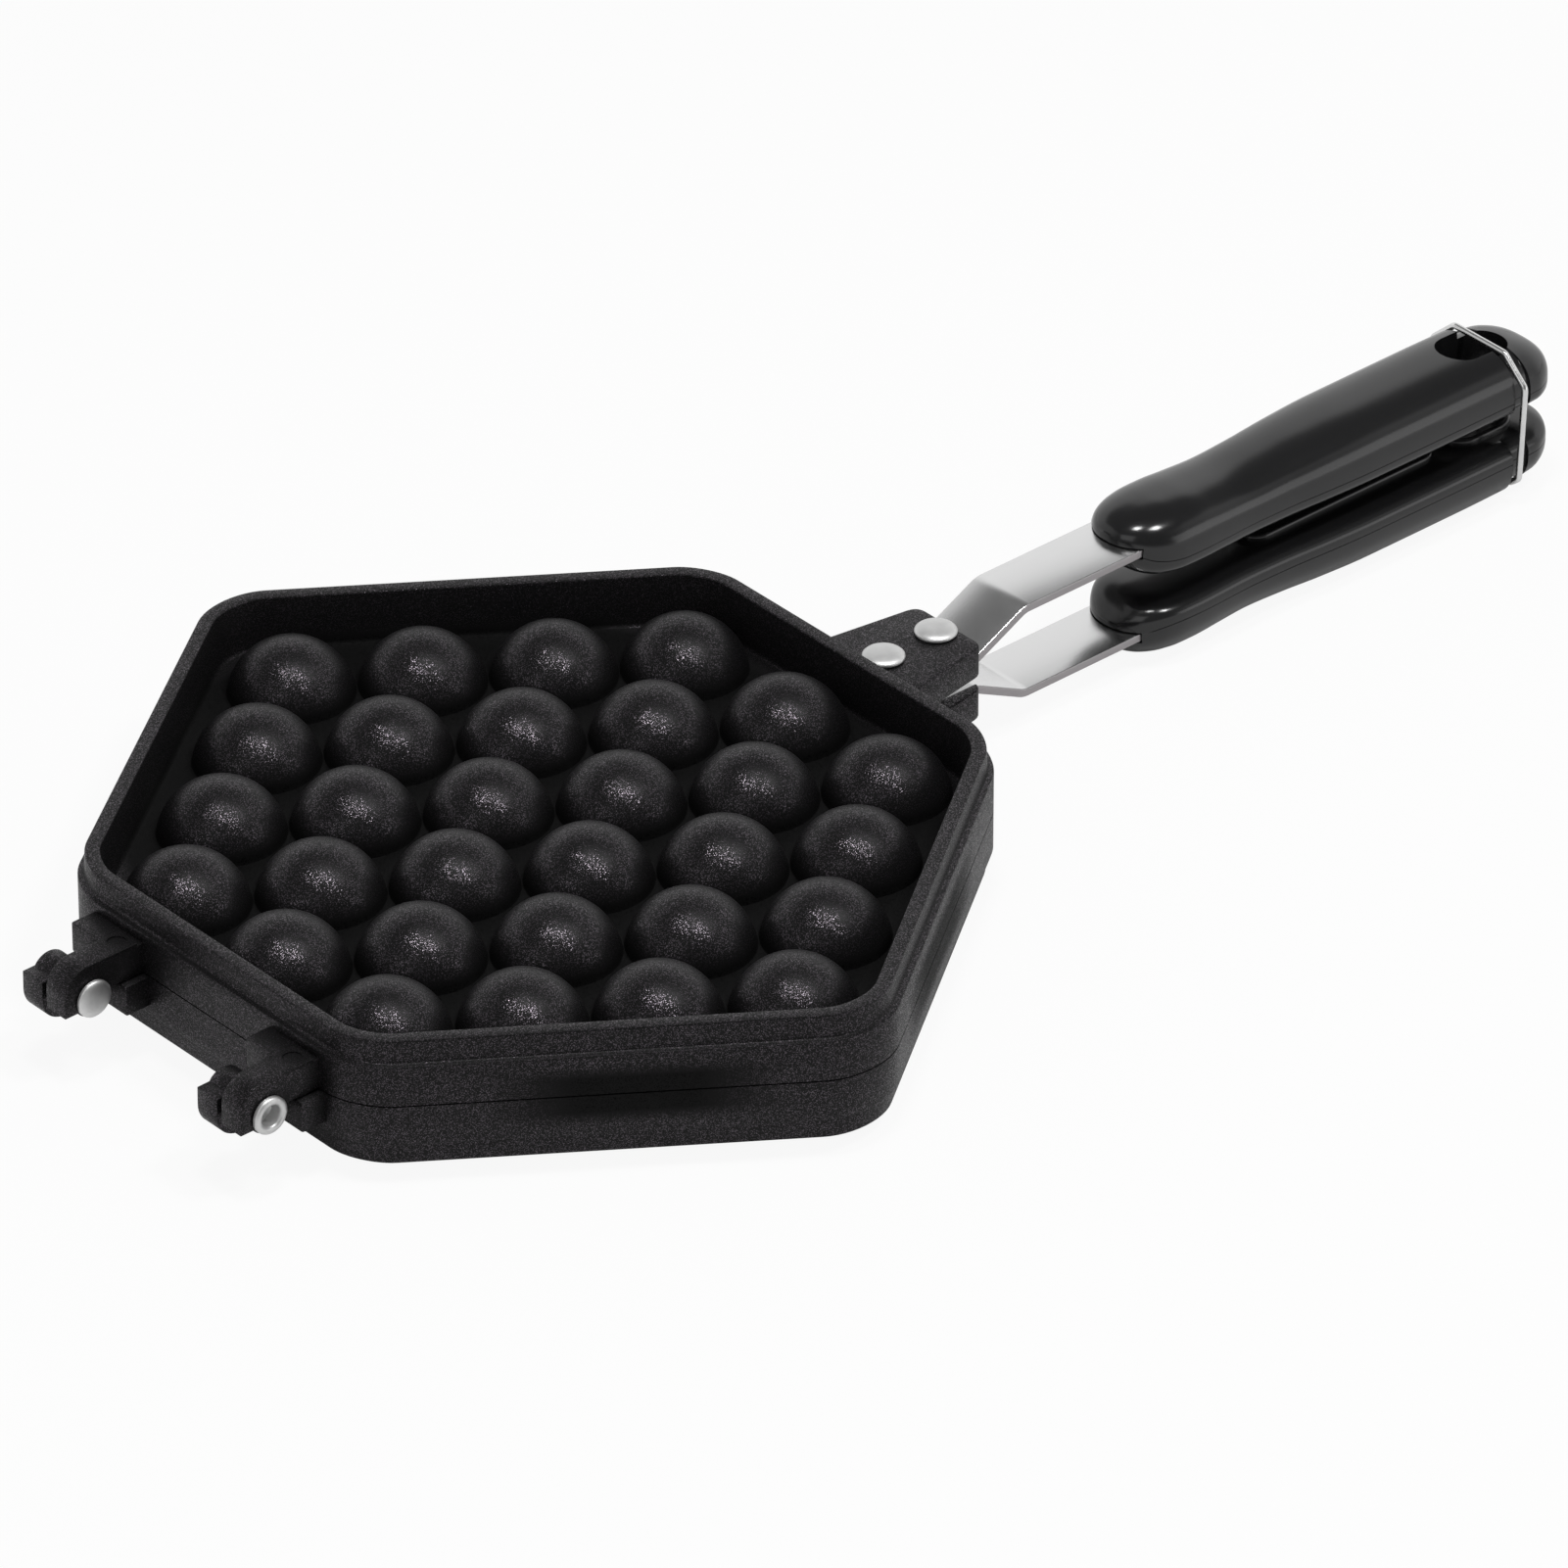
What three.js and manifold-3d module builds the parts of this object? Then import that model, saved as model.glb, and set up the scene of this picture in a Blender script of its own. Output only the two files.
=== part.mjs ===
// Egg waffle pan: two hinged cast plates with thirty hemispherical cups each, two riveted steel
// straps, two moulded grips and a wire bail that holds the closed grips together.
//
// Millimetres. X runs from the hinges to the grips, Y across the pan, Z up. While the pieces are
// made, x = y = 0 is the middle of the plates and z = 0 the parting plane between the two halves.
// Every piece of a half is made as it lies in the upper half; the lower half is turned over about X.

import * as THREE from 'three';
import { mergeVertices } from 'three/addons/utils/BufferGeometryUtils.js';
import Module from 'manifold-3d';

const wasm = await Module();
wasm.setup();

// Fits and cuts
const seatGap = 0.3;        // between a piece and what it sits on or in
const runningGap = 0.25;    // all round a pin or wire that turns
const overrun = 2;          // how far a cut runs past the faces it opens

// Cast plate: a six-sided tray with a raised rim
const rim = {
  length: 162.6,            // outside, from the hinge side to the grip side
  breadth: 191.7,           // outside, over the two round corners at the sides
  slantAngle: THREE.MathUtils.degToRad(54.7),
  cornerRadius: 15,
  top: 13.85,
  width: 3.1,
  footWidth: 3.7,           // at the floor, so that the inside has draft
  draft: 0.25,              // how far the outer face leans out on its way down to the ledge
  edge: 0.35,               // chamfer round the top of the rim
};
const flange = { overhang: 1.5, top: 9.05, edge: 0.35 };
const partingGap = 0.3;     // between the two flanges
const floor = { underside: 0.9, thickness: 1.45, webMargin: 1.2 };

// Hemispherical cups, in seven columns a pitch apart
const cup = {
  radius: 10.5,
  wall: 1.5,
  centre: 1.55,
  columnPitch: 21.26,
  rowPitch: 30,
  footSpread: 0.95,         // how far the dome over a cup spreads out at the floor
  footHeight: 1.7,          // and how high above the floor that starts
};

// Hinge: one knuckle ear on each half at each of two pins
const hinge = {
  spread: 26.3,             // middle plane to the middle of each hinge
  pinRadius: 2.5,
  earWidth: 6,
  earSpacing: 1.2,          // between the two ears on one pin
  knuckleRadius: 4.2,
  nubDrop: 2.4,             // the stop behind the pin reaches this far past the parting plane
  reach: 6.5,               // pin axis to the end face of the ear
  top: 7.4,
  round: 5.6,
  underside: 0.2,
};
const pad = { depth: 5.7, halfWidth: 8.2, top: 6.85, standoff: 7 };
const pinHead = { radius: 3.95, height: 1.5, flatRadius: 2.2, edgeShare: 0.3, flatShare: 0.9 };
const pinTail = { radius: 3.95, height: 1.2, boreRadius: 2, boreDepth: 4.5, edgeShare: 0.67 };

// Tab that carries the strap
const tab = {
  length: 24.7,
  rootHalfWidth: 14,
  endHalfWidth: 9.7,
  cornerRadius: 2.6,
  top: 8.3,
  underside: 1.6,
};
const pocket = { depth: 2.8, sideGap: 0.4, inset: 1.7 };

// Steel strap
const strap = {
  width: 14.8,
  thickness: 1.8,
  level: 9.9,               // middle of the strap inside the grip
  rise: 13.4,               // length of the sloping part, seen from above
  bendRadius: 5,
  exposed: 28.1,            // from the top of the slope to the front of the grip
  buried: 85,               // length inside the grip
  cornerRadius: 4,
};

// Rivets through the tab and the strap
const rivet = {
  shankRadius: 2,
  headRadius: 4.35,
  headHeight: 1.7,
  tailRadius: 3.3,
  tailHeight: 1,
  first: 6.9,               // flange face to the first rivet
  spacing: 13.9,
  domeShares: [[1, 0.2], [0.8, 0.6], [0.45, 0.9]],  // of the head's radius and height
};

// Moulded grip
const grip = {
  bodyLength: 102.1,        // nose to the wire groove
  grooveWidth: 4.9,
  capLength: 11,
  halfWidth: 12.3,
  rise: 9.9,                // crown above the seam
  seam: 7.3,
  lip: 4.1,                 // seam down to the inner face
  lipShares: [               // of half width and lip, from side to side under the seam
    [-0.98, 0.45], [-0.88, 0.75], [-0.65, 0.93], [-0.4, 1],
    [0.4, 1], [0.65, 0.93], [0.88, 0.75], [0.98, 0.45]],
  squareness: 2.6,          // of the sections; 2 would be an ellipse
  capSquareness: 2.4,
};
const boss = { length: 53, halfWidth: 5, height: 1.5, setback: 36 };
const hangHole = { length: 16.8, width: 10.4, collar: 1, endMargin: 8.5 };

// Wire bail
const bail = {
  wireRadius: 0.7,
  setback: 1.4,             // front of the groove to the wire
  topHalfWidth: 7.35,
  top: 16.5,
  shoulderHalfWidth: 13.5,
  shoulder: 10.9,
  ankleHalfWidth: 12.6,
  ankle: 11,                // below the parting plane
  footHalfWidth: 10.1,
  pivot: 13,                // below the parting plane
  bend: 1.1,
};

// Places that follow from the sizes
const rimEnd = rim.length / 2;
const rimSlant = (rim.breadth / 2 - rim.cornerRadius) * Math.sin(rim.slantAngle) + rim.cornerRadius;
const flangeFace = rimEnd + flange.overhang;
const floorTop = floor.underside + floor.thickness;
const padFace = flangeFace + pad.depth;
const pinX = padFace + pad.standoff;
const tabEnd = flangeFace + tab.length;
const pocketCeiling = tab.underside + pocket.depth;
const strapHalfWidth = strap.width / 2;
const strapFront = flangeFace + pocket.inset + seatGap;
const strapTop = pocketCeiling - seatGap;
const slopeEnd = tabEnd + strap.rise;
const gripFront = slopeEnd + strap.exposed;
const strapEnd = gripFront + strap.buried;
const grooveFront = gripFront + grip.bodyLength;
const capFront = grooveFront + grip.grooveWidth;
const gripEnd = capFront + grip.capLength;
const wireX = grooveFront + bail.setback;
const gripInner = grip.seam - grip.lip;

// Closed geometries as solids, and back
function solid(geometry) {
  const plain = geometry.clone();
  plain.deleteAttribute('normal');
  plain.deleteAttribute('uv');
  const merged = mergeVertices(plain);
  const points = merged.attributes.position.array;
  const corners = [];
  let volume = 0;
  const [a, b, c] = [new THREE.Vector3(), new THREE.Vector3(), new THREE.Vector3()];
  for (let i = 0; i < merged.index.count; i += 3) {
    const [p, q, r] = merged.index.array.subarray(i, i + 3);
    if (p === q || q === r || r === p) continue;
    corners.push(p, q, r);
    a.fromArray(points, 3 * p);
    b.fromArray(points, 3 * q);
    c.fromArray(points, 3 * r);
    volume += a.dot(b.cross(c));
  }
  if (volume < 0) corners.reverse();
  return new wasm.Manifold(new wasm.Mesh({
    numProp: 3,
    vertProperties: new Float32Array(points),
    triVerts: new Uint32Array(corners),
  }));
}

function geometryOf(shape) {
  const { vertProperties, triVerts } = shape.getMesh();
  const geometry = new THREE.BufferGeometry();
  geometry.setAttribute('position', new THREE.BufferAttribute(vertProperties, 3));
  geometry.setIndex(new THREE.BufferAttribute(triVerts, 1));
  geometry.computeVertexNormals();
  return geometry;
}

// A solid through convex rings that all have the same number of points
function loft(rings) {
  const count = rings[0].length;
  const faces = [];
  for (let r = 0; r + 1 < rings.length; r++) {
    for (let i = 0; i < count; i++) {
      const p = r * count + i;
      const q = r * count + (i + 1) % count;
      faces.push(p, q, q + count, p, q + count, p + count);
    }
  }
  const last = (rings.length - 1) * count;
  for (let i = 1; i + 1 < count; i++) faces.push(0, i + 1, i, last, last + i, last + i + 1);
  const geometry = new THREE.BufferGeometry().setFromPoints(rings.flat());
  geometry.setIndex(faces);
  return solid(geometry);
}

// A flat outline raised along Z between two heights
function prism(shape, low, high, curveSegments = 8) {
  const geometry = new THREE.ExtrudeGeometry(shape, {
    depth: high - low, steps: 1, bevelEnabled: false, curveSegments,
  });
  return solid(geometry.translate(0, 0, low));
}

// An outline drawn in X and Z, carried along Y from one side to the other
function prismAcross(shape, near, far, curveSegments = 8) {
  const geometry = new THREE.ExtrudeGeometry(shape, {
    depth: far - near, steps: 1, bevelEnabled: false, curveSegments,
  });
  return solid(geometry.rotateX(Math.PI / 2).translate(0, far, 0));
}

function block(x0, x1, y0, y1, z0, z1) {
  const geometry = new THREE.BoxGeometry(x1 - x0, y1 - y0, z1 - z0);
  return solid(geometry.translate((x0 + x1) / 2, (y0 + y1) / 2, (z0 + z1) / 2));
}

function cylinderUp(radius, x, y, z0, z1, sides = 14) {
  const geometry = new THREE.CylinderGeometry(radius, radius, z1 - z0, sides);
  return solid(geometry.rotateX(Math.PI / 2).translate(x, y, (z0 + z1) / 2));
}

function cylinderAcross(radius, x, z, y0, y1, sides = 14) {
  const geometry = new THREE.CylinderGeometry(radius, radius, y1 - y0, sides);
  return solid(geometry.translate(x, (y0 + y1) / 2, z));
}

// Six-sided outline with round corners, moved inwards by an inset
const sideAngles = [0, rim.slantAngle, Math.PI - rim.slantAngle, Math.PI,
  Math.PI + rim.slantAngle, 2 * Math.PI - rim.slantAngle];
const sideOffsets = sideAngles.map((angle, i) => (i % 3 === 0 ? rimEnd : rimSlant));
const cornerSteps = 4;

function cornerCentre(i) {
  const j = (i + 1) % sideAngles.length;
  const [p, q] = [sideAngles[i], sideAngles[j]];
  const [d, e] = [sideOffsets[i] - rim.cornerRadius, sideOffsets[j] - rim.cornerRadius];
  const across = Math.sin(q - p);
  return [(d * Math.sin(q) - e * Math.sin(p)) / across, (e * Math.cos(p) - d * Math.cos(q)) / across];
}

function hexagonRing(inset, z) {
  const radius = rim.cornerRadius - inset;
  const ring = [];
  sideAngles.forEach((start, i) => {
    const turn = (sideAngles[(i + 1) % sideAngles.length] - start + 2 * Math.PI) % (2 * Math.PI);
    const [x, y] = cornerCentre(i);
    for (let step = 0; step <= cornerSteps; step++) {
      const angle = start + turn * step / cornerSteps;
      ring.push(new THREE.Vector3(x + radius * Math.cos(angle), y + radius * Math.sin(angle), z));
    }
  });
  return ring;
}

// A dome about the middle of a cup, on a foot that is given as radii and levels from the axis out
function dome(radius, foot, x, y) {
  const [around, up] = [12, 3];
  const profile = foot.map(([distance, level]) => new THREE.Vector2(distance, level));
  for (let step = 1; step < up; step++) {
    const angle = Math.PI / 2 * step / up;
    profile.push(new THREE.Vector2(radius * Math.cos(angle), radius * Math.sin(angle)));
  }
  profile.push(new THREE.Vector2(0, radius));
  const geometry = new THREE.LatheGeometry(profile, around);
  return solid(geometry.rotateX(Math.PI / 2).translate(x, y, cup.centre));
}

// Outside of a cup, which spreads towards the floor
function mound(x, y) {
  const radius = cup.radius + cup.wall;
  const reach = radius + cup.footSpread;
  const ground = floorTop - cup.centre;
  const spreadTop = ground + cup.footHeight;
  return dome(radius, [[0, 0], [reach, 0], [reach, ground],
    [Math.sqrt(radius ** 2 - spreadTop ** 2), spreadTop]], x, y);
}

// Space inside a cup, down past the parting plane
function hollow(x, y) {
  return dome(cup.radius, [[0, -cup.centre], [cup.radius, -cup.centre]], x, y);
}

// Columns of four, five and six cups, set off by half a row from one to the next
const cupColumns = [-3, -2, -1, 0, 1, 2, 3];
const cupCount = { 0: 6, 1: 5, 2: 4, 3: 3 };
const cupPlaces = cupColumns.flatMap((column) => {
  const count = cupCount[Math.abs(column)];
  return Array.from({ length: count }, (_, row) => [
    column * cup.columnPitch, (row - (count - 1) / 2) * cup.rowPitch]);
});

function tray() {
  const low = partingGap / 2;
  const outside = loft([
    hexagonRing(flange.edge - flange.overhang, low),
    hexagonRing(-flange.overhang, low + flange.edge),
    hexagonRing(-flange.overhang, flange.top - flange.edge),
    hexagonRing(flange.edge - flange.overhang, flange.top),
    hexagonRing(-rim.draft, flange.top),
    hexagonRing(0, rim.top - rim.edge),
    hexagonRing(rim.edge, rim.top),
  ]);
  const inside = loft([
    hexagonRing(rim.footWidth, floorTop),
    hexagonRing(rim.width, rim.top - rim.edge),
    hexagonRing(rim.width - rim.edge, rim.top),
    hexagonRing(rim.width - rim.edge, rim.top + overrun),
  ]);
  const web = loft([
    hexagonRing(rim.footWidth + floor.webMargin, -overrun),
    hexagonRing(rim.footWidth + floor.webMargin, floor.underside),
  ]);
  return outside.subtract(inside).subtract(web);
}

// Ear seen along the pin: a knuckle round the pin with a square stop behind it
function earOutline() {
  const { knuckleRadius: r, nubDrop, reach, round, top, underside } = hinge;
  const end = -pinX - reach;
  const root = -flangeFace - pad.depth / 2;
  const outline = new THREE.Shape();
  outline.moveTo(root, underside);
  outline.absarc(-pinX, 0, r, Math.asin(underside / r), -Math.PI + Math.asin(nubDrop / r), true);
  outline.lineTo(end, -nubDrop);
  outline.lineTo(end, top - round);
  outline.absarc(end + round, top - round, round, Math.PI, Math.PI / 2, true);
  outline.lineTo(root, top);
  return outline;
}

function hingeEar(side) {
  const middle = side * hinge.spread;
  const far = middle - hinge.earSpacing / 2;
  const near = far - hinge.earWidth;
  const ear = prismAcross(earOutline(), near, far, 6);
  const lug = block(-padFace, -rimEnd, middle - pad.halfWidth, middle + pad.halfWidth,
    partingGap / 2, pad.top);
  return ear.add(lug);
}

function tabOutline() {
  const root = rimEnd;
  const slope = (tab.rootHalfWidth - tab.endHalfWidth) / tab.length;
  const r = tab.cornerRadius;
  const shoulder = tab.endHalfWidth + slope * r;
  const outline = new THREE.Shape();
  outline.moveTo(root, -tab.rootHalfWidth);
  outline.lineTo(tabEnd - r, -shoulder);
  outline.quadraticCurveTo(tabEnd, -tab.endHalfWidth, tabEnd, r - tab.endHalfWidth);
  outline.lineTo(tabEnd, tab.endHalfWidth - r);
  outline.quadraticCurveTo(tabEnd, tab.endHalfWidth, tabEnd - r, shoulder);
  outline.lineTo(root, tab.rootHalfWidth);
  return outline;
}

const rivetPlaces = [flangeFace + rivet.first, flangeFace + rivet.first + rivet.spacing];

function plateGeometry() {
  let plate = tray();
  for (const [x, y] of cupPlaces) plate = plate.add(mound(x, y));
  for (const [x, y] of cupPlaces) plate = plate.subtract(hollow(x, y));
  plate = plate.add(prism(tabOutline(), tab.underside, tab.top, 4));
  const pocketHalfWidth = strapHalfWidth + pocket.sideGap;
  plate = plate.subtract(block(flangeFace + pocket.inset, tabEnd + overrun,
    -pocketHalfWidth, pocketHalfWidth, -overrun, pocketCeiling));
  for (const x of rivetPlaces) {
    plate = plate.subtract(cylinderUp(rivet.shankRadius + seatGap, x, 0, -overrun, tab.top + overrun));
  }
  for (const side of [-1, 1]) {
    const middle = side * hinge.spread;
    plate = plate.add(hingeEar(side));
    plate = plate.subtract(cylinderAcross(hinge.pinRadius + runningGap, -pinX, 0,
      middle - hinge.earWidth - overrun, middle + overrun));
  }
  return geometryOf(plate);
}

// Pin with a domed head on one side and a rolled, hollow tail on the other
function pinGeometry() {
  const halfStack = hinge.earWidth + hinge.earSpacing / 2;
  const headSeat = -halfStack - seatGap;
  const tailSeat = halfStack + seatGap;
  const tip = tailSeat + pinTail.height;
  const rollEdge = tailSeat + pinTail.edgeShare * pinTail.height;
  const profile = [
    [0, headSeat - pinHead.height],
    [pinHead.flatRadius, headSeat - pinHead.flatShare * pinHead.height],
    [pinHead.radius, headSeat - pinHead.edgeShare * pinHead.height],
    [pinHead.radius, headSeat],
    [hinge.pinRadius, headSeat],
    [hinge.pinRadius, tailSeat],
    [pinTail.radius, tailSeat],
    [pinTail.radius, rollEdge],
    [(pinTail.radius + pinTail.boreRadius) / 2, tip],
    [pinTail.boreRadius, rollEdge],
    [pinTail.boreRadius, tip - pinTail.boreDepth],
    [0, tip - pinTail.boreDepth],
  ].map(([radius, y]) => new THREE.Vector2(radius, y));
  return geometryOf(solid(new THREE.LatheGeometry(profile, 14)));
}

// Strap: flat under the tab, up a slope and level into the grip
function strapGeometry() {
  const low = strapTop - strap.thickness / 2;
  const slope = Math.atan2(strap.level - low, strap.rise);
  const bend = strap.bendRadius * Math.tan(slope / 2);
  const along = [Math.cos(slope) * bend, Math.sin(slope) * bend];
  const centreLine = new THREE.CurvePath();
  const at = (x, z) => new THREE.Vector2(x, z);
  const corners = [at(tabEnd, low), at(slopeEnd, strap.level)];
  centreLine.add(new THREE.LineCurve(at(strapFront, low), at(tabEnd - bend, low)));
  centreLine.add(new THREE.QuadraticBezierCurve(at(tabEnd - bend, low), corners[0],
    at(tabEnd + along[0], low + along[1])));
  centreLine.add(new THREE.LineCurve(at(tabEnd + along[0], low + along[1]),
    at(slopeEnd - along[0], strap.level - along[1])));
  centreLine.add(new THREE.QuadraticBezierCurve(at(slopeEnd - along[0], strap.level - along[1]),
    corners[1], at(slopeEnd + bend, strap.level)));
  centreLine.add(new THREE.LineCurve(at(slopeEnd + bend, strap.level), at(strapEnd, strap.level)));
  const edges = { over: [], under: [] };
  for (const curve of centreLine.curves) {
    const steps = curve.isLineCurve ? 1 : 3;
    for (let step = edges.over.length ? 1 : 0; step <= steps; step++) {
      const p = curve.getPoint(step / steps);
      const t = curve.getTangent(step / steps);
      const offset = at(-t.y, t.x).multiplyScalar(strap.thickness / 2);
      edges.over.push(p.clone().add(offset));
      edges.under.push(p.clone().sub(offset));
    }
  }
  const side = new THREE.Shape([...edges.over, ...edges.under.reverse()]);
  let body = prismAcross(side, -strapHalfWidth, strapHalfWidth);
  body = body.intersect(prism(strapOutline(), -overrun, strap.level + strap.thickness + overrun, 4));
  for (const x of rivetPlaces) {
    body = body.subtract(cylinderUp(rivet.shankRadius + seatGap, x, 0, -overrun, strapTop + overrun));
  }
  return geometryOf(body);
}

function strapOutline() {
  const [x0, x1, w, r] = [strapFront, strapEnd, strapHalfWidth, strap.cornerRadius];
  const outline = new THREE.Shape();
  outline.moveTo(x0 + r, -w);
  outline.lineTo(x1 - r, -w);
  outline.quadraticCurveTo(x1, -w, x1, r - w);
  outline.lineTo(x1, w - r);
  outline.quadraticCurveTo(x1, w, x1 - r, w);
  outline.lineTo(x0 + r, w);
  outline.quadraticCurveTo(x0, w, x0, w - r);
  outline.lineTo(x0, r - w);
  outline.quadraticCurveTo(x0, -w, x0 + r, -w);
  return outline;
}

function rivetGeometry() {
  const tailSeat = strapTop - strap.thickness - seatGap;
  const headSeat = tab.top + seatGap;
  const profile = [
    [0, tailSeat - rivet.tailHeight],
    [rivet.tailRadius, tailSeat - rivet.tailHeight],
    [rivet.tailRadius, tailSeat],
    [rivet.shankRadius, tailSeat],
    [rivet.shankRadius, headSeat],
    [rivet.headRadius, headSeat],
    ...rivet.domeShares.map(([out, up]) => [out * rivet.headRadius, headSeat + up * rivet.headHeight]),
    [0, headSeat + rivet.headHeight],
  ].map(([radius, y]) => new THREE.Vector2(radius, y));
  return geometryOf(solid(new THREE.LatheGeometry(profile, 14).rotateX(Math.PI / 2)));
}

// Grip sections: share along the stretch, half width, crown, depth of the lip, lift of the seam
const bodyShares = [
  [0, 0.122, 0.121, 0.67, 0.434], [0.003, 0.244, 0.172, 0.89, 0.394], [0.01, 0.382, 0.323, 0.94, 0.333],
  [0.02, 0.512, 0.465, 1.06, 0.263], [0.034, 0.642, 0.626, 1.11, 0.172], [0.054, 0.764, 0.768, 1.11, 0.091],
  [0.083, 0.862, 0.879, 1.06, 0.03], [0.122, 0.919, 0.934, 1, 0], [0.167, 0.927, 0.929, 1, 0],
  [0.225, 0.911, 0.889, 1, 0], [0.304, 0.886, 0.854, 1, 0], [0.402, 0.902, 0.899, 1, 0],
  [0.5, 0.951, 0.96, 1, 0], [0.627, 0.992, 1, 1, 0], [0.891, 1, 1, 1, 0], [1, 1, 0.98, 1, 0],
];
const grooveShares = [[0.07, 0.902, 0.798, 1, 0], [0.94, 0.902, 0.798, 1, 0]];
const capShares = [
  [0, 0.95, 0.825, 1, 0], [0.25, 0.935, 0.775, 1, 0], [0.45, 0.87, 0.715, 1, 0],
  [0.65, 0.755, 0.625, 1, 0], [0.82, 0.58, 0.49, 0.9, 0], [0.94, 0.37, 0.32, 0.75, 0],
  [1, 0.18, 0.16, 0.5, 0],
];

function gripSection(x, widthShare, riseShare, lipShare, liftShare, squareness) {
  const seam = grip.seam + liftShare * grip.rise;
  const width = widthShare * grip.halfWidth;
  const rise = riseShare * grip.rise;
  const lip = lipShare * grip.lip;
  const steps = 14;
  const ring = [];
  for (let step = 0; step <= steps; step++) {
    const angle = Math.PI * step / steps;
    const [c, s] = [Math.cos(angle), Math.sin(angle)];
    ring.push(new THREE.Vector3(x, width * Math.sign(c) * Math.abs(c) ** (2 / squareness),
      seam + rise * Math.abs(s) ** (2 / squareness)));
  }
  for (const [across, down] of grip.lipShares) {
    ring.push(new THREE.Vector3(x, across * width, seam - down * lip));
  }
  return ring;
}

function gripBlank() {
  const stretches = [
    [gripFront, grip.bodyLength, bodyShares, grip.squareness],
    [grooveFront, grip.grooveWidth, grooveShares, grip.squareness],
    [capFront, grip.capLength, capShares, grip.capSquareness],
  ];
  return loft(stretches.flatMap(([start, length, shares, squareness]) => shares.map(
    ([along, ...section]) => gripSection(start + along * length, ...section, squareness))));
}

function bossOutline() {
  const r = boss.halfWidth;
  const [x0, x1] = [gripFront + boss.setback + r, gripFront + boss.setback + boss.length - r];
  const outline = new THREE.Shape();
  outline.absarc(x1, 0, r, -Math.PI / 2, Math.PI / 2);
  outline.absarc(x0, 0, r, Math.PI / 2, 3 * Math.PI / 2);
  return outline;
}

function hangHoleOutline(margin) {
  const r = hangHole.width / 2 + margin;
  const x1 = gripEnd - hangHole.endMargin - hangHole.width / 2;
  const x0 = x1 - hangHole.length + hangHole.width;
  const outline = new THREE.Shape();
  outline.absarc(x1, 0, r, -Math.PI / 2, Math.PI / 2);
  outline.absarc(x0, 0, r, Math.PI / 2, 3 * Math.PI / 2);
  return outline;
}

function gripGeometry(carriesBail) {
  const crown = grip.seam + grip.rise;
  const slotHalfWidth = strapHalfWidth + seatGap;
  const slotHalfHeight = strap.thickness / 2 + seatGap;
  let body = gripBlank();
  for (const outline of [bossOutline(), hangHoleOutline(hangHole.collar)]) {
    body = body.add(prism(outline, gripInner - boss.height, grip.seam, 6));
  }
  body = body.subtract(block(gripFront - overrun, strapEnd + seatGap, -slotHalfWidth, slotHalfWidth,
    strap.level - slotHalfHeight, strap.level + slotHalfHeight));
  body = body.subtract(prism(hangHoleOutline(0), gripInner - boss.height - overrun, crown + overrun, 6));
  if (carriesBail) {
    body = body.subtract(cylinderAcross(bail.wireRadius + runningGap, wireX, bail.pivot,
      -grip.halfWidth - overrun, grip.halfWidth + overrun, 12));
  }
  return geometryOf(body);
}

// Bail: one length of wire from foot to foot over the top of the upper grip
function bailGeometry() {
  const footEnd = hangHole.width / 2 + seatGap;
  const half = [
    [footEnd, -bail.pivot], [bail.footHalfWidth, -bail.pivot], [bail.ankleHalfWidth, -bail.ankle],
    [bail.shoulderHalfWidth, bail.shoulder], [bail.topHalfWidth, bail.top],
  ].map(([y, z]) => new THREE.Vector2(y, z));
  const corners = [...half, ...half.map((p) => new THREE.Vector2(-p.x, p.y)).reverse()];
  const line = [corners[0]];
  for (let i = 1; i + 1 < corners.length; i++) {
    const [before, corner, after] = [corners[i - 1], corners[i], corners[i + 1]];
    const start = before.clone().sub(corner).setLength(bail.bend).add(corner);
    const end = after.clone().sub(corner).setLength(bail.bend).add(corner);
    line.push(...new THREE.QuadraticBezierCurve(start, corner, end).getPoints(2));
  }
  line.push(corners.at(-1));
  const sides = 8;
  const rings = line.map((point, i) => {
    const into = point.clone().sub(line[Math.max(i - 1, 0)]).normalize();
    const out = line[Math.min(i + 1, line.length - 1)].clone().sub(point).normalize();
    const along = into.clone().add(out).normalize();
    const across = new THREE.Vector2(-along.y, along.x);
    return Array.from({ length: sides }, (_, side) => {
      const angle = 2 * Math.PI * side / sides;
      const offset = across.clone().multiplyScalar(bail.wireRadius * Math.cos(angle));
      return new THREE.Vector3(wireX + bail.wireRadius * Math.sin(angle), point.x + offset.x,
        point.y + offset.y);
    });
  });
  return geometryOf(loft(rings));
}

// Materials
const casting = new THREE.MeshStandardMaterial({ color: 0x1c1d1f, roughness: 0.45, metalness: 0.5 });
const steel = new THREE.MeshStandardMaterial({ color: 0xc2c4c6, roughness: 0.3, metalness: 1 });
const rivetMetal = new THREE.MeshStandardMaterial({ color: 0xd2d3d4, roughness: 0.2, metalness: 1 });
const phenolic = new THREE.MeshStandardMaterial({ color: 0x101112, roughness: 0.25, metalness: 0 });
const wire = new THREE.MeshStandardMaterial({ color: 0xcfd0d0, roughness: 0.25, metalness: 1 });

function piece(name, geometry, material, x = 0, y = 0, turn = 0) {
  const mesh = new THREE.Mesh(geometry, material);
  mesh.name = name;
  mesh.position.set(x, y, 0);
  mesh.rotation.z = turn;
  return mesh;
}

const plate = plateGeometry();
const strapShape = strapGeometry();
const rivetShape = rivetGeometry();
const pinShape = pinGeometry();

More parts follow.
